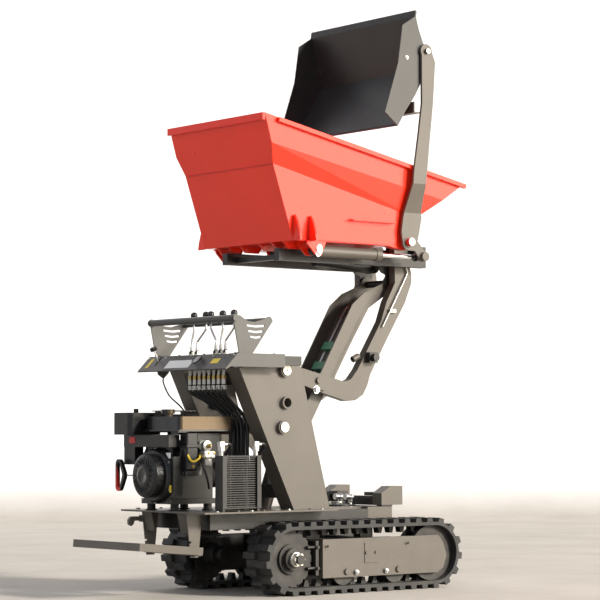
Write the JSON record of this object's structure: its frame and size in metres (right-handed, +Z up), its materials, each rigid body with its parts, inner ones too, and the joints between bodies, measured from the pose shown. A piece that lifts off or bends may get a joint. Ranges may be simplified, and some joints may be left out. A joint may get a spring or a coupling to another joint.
{
  "type": "power wheelbarrow",
  "caption": "Walk-behind tracked dumper with a petrol engine, a parallel-link lift that raises its tipping skip, and a loading shovel on swinging arms.",
  "frame": {"origin": "centre of the bounding box's base, on the ground between the tracks", "axes": "+X points forward to the end the skip tips over, +Y to the operator's left, +Z up"},
  "size_m": [1.8965, 0.928, 2.842],
  "materials": {
    "taupe_paint": "satin",
    "dark_paint": "satin",
    "red_paint": "gloss",
    "track_rubber": "matt",
    "hose_rubber": "matt",
    "chrome_rod": "polished",
    "zinc": "satin",
    "cast_wheel": "rough",
    "black_plastic": "matt",
    "gloss_black": "gloss",
    "alloy": "cast",
    "gauge_face": "satin"
  },
  "bodies": {
    "chassis": {"chassis_frame": "dark_paint", "deck_plate": "taupe_paint", "hydraulic_tank": "taupe_paint", "tank_lid": "zinc", "rest_blocks": "dark_paint", "mast_left": "taupe_paint", "mast_right": "taupe_paint", "mast_brace": "dark_paint", "mast_pins": "zinc", "console": "taupe_paint", "handlebar": "taupe_paint", "pressure_gauge": "gauge_face", "valve_bank": "zinc", "hydraulic_hoses": "hose_rubber", "hydraulic_fittings": "zinc", "engine_block": "alloy", "recoil_housing": "black_plastic", "engine_shroud": "black_plastic", "fuel_tank": "gloss_black", "air_cleaner": "black_plastic", "muffler": "cast_wheel", "carburettor": "alloy", "hydraulic_pump": "cast_wheel", "engine_mounts": "track_rubber", "oil_cooler": "black_plastic", "track_frames": "dark_paint", "track_covers": "taupe_paint", "track_left": "track_rubber", "track_right": "track_rubber", "drive_motors": "dark_paint", "step_brackets": "taupe_paint", "throttle_cable": "hose_rubber"},
    "sprocket_left_body": {"sprocket_left": "cast_wheel"},
    "sprocket_right_body": {"sprocket_right": "cast_wheel"},
    "idler_left_body": {"idler_left": "cast_wheel"},
    "idler_right_body": {"idler_right": "cast_wheel"},
    "roller_rear_left_body": {"roller_rear_left": "cast_wheel"},
    "roller_rear_right_body": {"roller_rear_right": "cast_wheel"},
    "roller_front_left_body": {"roller_front_left": "cast_wheel"},
    "roller_front_right_body": {"roller_front_right": "cast_wheel"},
    "lift_arm_body": {"lift_arm": "taupe_paint"},
    "lower_link_body": {"lower_link": "taupe_paint"},
    "carrier_body": {"carrier": "dark_paint"},
    "skip_body": {"skip": "red_paint"},
    "shovel_arms_body": {"shovel_arms": "taupe_paint"},
    "shovel_body": {"shovel": "dark_paint"},
    "lift_barrel_body": {"lift_barrel": "taupe_paint"},
    "lift_rod_body": {"lift_rod": "chrome_rod"},
    "tip_barrel_body": {"tip_barrel": "dark_paint"},
    "tip_rod_body": {"tip_rod": "chrome_rod"},
    "shovel_barrels_body": {"shovel_barrels": "taupe_paint"},
    "shovel_rods_body": {"shovel_rods": "chrome_rod"},
    "lever_1_body": {"lever_1": "chrome_rod"},
    "lever_2_body": {"lever_2": "chrome_rod"},
    "lever_3_body": {"lever_3": "chrome_rod"},
    "lever_4_body": {"lever_4": "chrome_rod"},
    "lever_5_body": {"lever_5": "chrome_rod"},
    "footboard_body": {"footboard": "taupe_paint"},
    "throttle_body": {"throttle_lever": "zinc"},
    "starter_body": {"starter_handle": "black_plastic"}
  },
  "joints": [
    {"name": "sprocket_left_turn", "type": "hinge", "parent": "chassis", "child": "sprocket_left_body", "pos_m": [-0.1685, 0.33, 0.1715], "axis": [0, 1, 0], "continuous": true},
    {"name": "idler_left_turn", "type": "hinge", "parent": "chassis", "child": "idler_left_body", "pos_m": [0.71425, 0.33, 0.1715], "axis": [0, 1, 0], "continuous": true},
    {"name": "roller_rear_left_turn", "type": "hinge", "parent": "chassis", "child": "roller_rear_left_body", "pos_m": [0.1505, 0.33, 0.1028], "axis": [0, 1, 0], "continuous": true},
    {"name": "roller_front_left_turn", "type": "hinge", "parent": "chassis", "child": "roller_front_left_body", "pos_m": [0.4745, 0.33, 0.1028], "axis": [0, 1, 0], "continuous": true},
    {"name": "sprocket_right_turn", "type": "hinge", "parent": "chassis", "child": "sprocket_right_body", "pos_m": [-0.1685, -0.33, 0.1715], "axis": [0, 1, 0], "continuous": true},
    {"name": "idler_right_turn", "type": "hinge", "parent": "chassis", "child": "idler_right_body", "pos_m": [0.71425, -0.33, 0.1715], "axis": [0, 1, 0], "continuous": true},
    {"name": "roller_rear_right_turn", "type": "hinge", "parent": "chassis", "child": "roller_rear_right_body", "pos_m": [0.1505, -0.33, 0.1028], "axis": [0, 1, 0], "continuous": true},
    {"name": "roller_front_right_turn", "type": "hinge", "parent": "chassis", "child": "roller_front_right_body", "pos_m": [0.4745, -0.33, 0.1028], "axis": [0, 1, 0], "continuous": true},
    {"name": "lift", "type": "hinge", "parent": "chassis", "child": "lift_arm_body", "pos_m": [-0.1235, 0, 1.055], "axis": [0, 1, 0], "range_deg": [0, 52]},
    {"name": "link_swing", "type": "hinge", "parent": "chassis", "child": "lower_link_body", "pos_m": [-0.1375, 0, 0.786], "axis": [0, 1, 0], "range_deg": [0, 52]},
    {"name": "carrier_level", "type": "hinge", "parent": "lift_arm_body", "child": "carrier_body", "pos_m": [0.7215, 0, 1.78], "axis": [0, 1, 0], "range_deg": [-52, 0]},
    {"name": "tip", "type": "hinge", "parent": "carrier_body", "child": "skip_body", "pos_m": [0.7215, 0, 1.78], "axis": [0, -1, 0], "range_deg": [-65, 0]},
    {"name": "tip_barrel_turn", "type": "hinge", "parent": "carrier_body", "child": "tip_barrel_body", "pos_m": [0.6615, 0, 1.59], "axis": [0, -1, 0], "range_deg": [-65, 0]},
    {"name": "tip_rod_slide", "type": "slide", "parent": "tip_barrel_body", "child": "tip_rod_body", "axis": [-0.9974, 0, 0.0719], "range_m": [-0.01, 0.24]},
    {"name": "lift_barrel_turn", "type": "hinge", "parent": "chassis", "child": "lift_barrel_body", "pos_m": [-0.0565, 0, 0.33], "axis": [0, 1, 0], "range_deg": [-12, 1]},
    {"name": "lift_rod_slide", "type": "slide", "parent": "lift_barrel_body", "child": "lift_rod_body", "axis": [0.3352, 0, 0.9421], "range_m": [-0.28, 0.01]},
    {"name": "shovel_arm_swing", "type": "hinge", "parent": "skip_body", "child": "shovel_arms_body", "pos_m": [0.5835, 0, 1.693], "axis": [0, 1, 0], "range_deg": [0, 110]},
    {"name": "shovel_barrel_turn", "type": "hinge", "parent": "skip_body", "child": "shovel_barrels_body", "pos_m": [0.0215, 0, 1.626], "axis": [0, 1, 0], "range_deg": [-20, 20]},
    {"name": "shovel_rod_slide", "type": "slide", "parent": "shovel_barrels_body", "child": "shovel_rods_body", "axis": [1, 0, 0], "range_m": [-0.26, 0.01]},
    {"name": "shovel_turn", "type": "hinge", "parent": "shovel_arms_body", "child": "shovel_body", "pos_m": [0.6635, 0, 2.64], "axis": [0, 1, 0], "range_deg": [0, 25]},
    {"name": "lever_1_rock", "type": "hinge", "parent": "chassis", "child": "lever_1_body", "pos_m": [-0.3905, 0.094, 1.139], "axis": [0, 1, 0], "range_deg": [-11, 11], "stiffness_Nm_per_rad": 6},
    {"name": "lever_2_rock", "type": "hinge", "parent": "chassis", "child": "lever_2_body", "pos_m": [-0.3905, 0.05, 1.139], "axis": [0, 1, 0], "range_deg": [-11, 11], "stiffness_Nm_per_rad": 6},
    {"name": "lever_3_rock", "type": "hinge", "parent": "chassis", "child": "lever_3_body", "pos_m": [-0.3905, -0.099, 1.139], "axis": [0, 1, 0], "range_deg": [-11, 11], "stiffness_Nm_per_rad": 6},
    {"name": "lever_4_rock", "type": "hinge", "parent": "chassis", "child": "lever_4_body", "pos_m": [-0.3905, -0.137, 1.139], "axis": [0, 1, 0], "range_deg": [-11, 11], "stiffness_Nm_per_rad": 6},
    {"name": "lever_5_rock", "type": "hinge", "parent": "chassis", "child": "lever_5_body", "pos_m": [-0.3905, -0.175, 1.139], "axis": [0, 1, 0], "range_deg": [-11, 11], "stiffness_Nm_per_rad": 6},
    {"name": "throttle_turn", "type": "hinge", "parent": "chassis", "child": "throttle_body", "pos_m": [-0.4535, 0.245, 1.06], "axis": [0, 1, 0], "range_deg": [-9, 20]},
    {"name": "footboard_fold", "type": "hinge", "parent": "chassis", "child": "footboard_body", "pos_m": [-0.5735, 0, 0.205], "axis": [0, 1, 0], "range_deg": [0, 50]},
    {"name": "starter_pull", "type": "slide", "parent": "chassis", "child": "starter_body", "axis": [0, 1, 0], "range_m": [0, 0.2], "stiffness_N_per_m": 50}
  ],
  "couplings": [
    {"joint": "link_swing", "follows": "lift", "ratio": 1},
    {"joint": "carrier_level", "follows": "lift", "ratio": -1},
    {"joint": "tip_barrel_turn", "follows": "tip", "ratio": 0.92431},
    {"joint": "tip_rod_slide", "follows": "tip", "m_per_rad": -0.181},
    {"joint": "lift_barrel_turn", "follows": "lift", "ratio": -0.15963},
    {"joint": "lift_rod_slide", "follows": "lift", "m_per_rad": -0.28771},
    {"joint": "shovel_barrel_turn", "follows": "shovel_arm_swing", "ratio": 0.00033},
    {"joint": "shovel_rod_slide", "follows": "shovel_arm_swing", "m_per_rad": -0.0999}
  ]
}
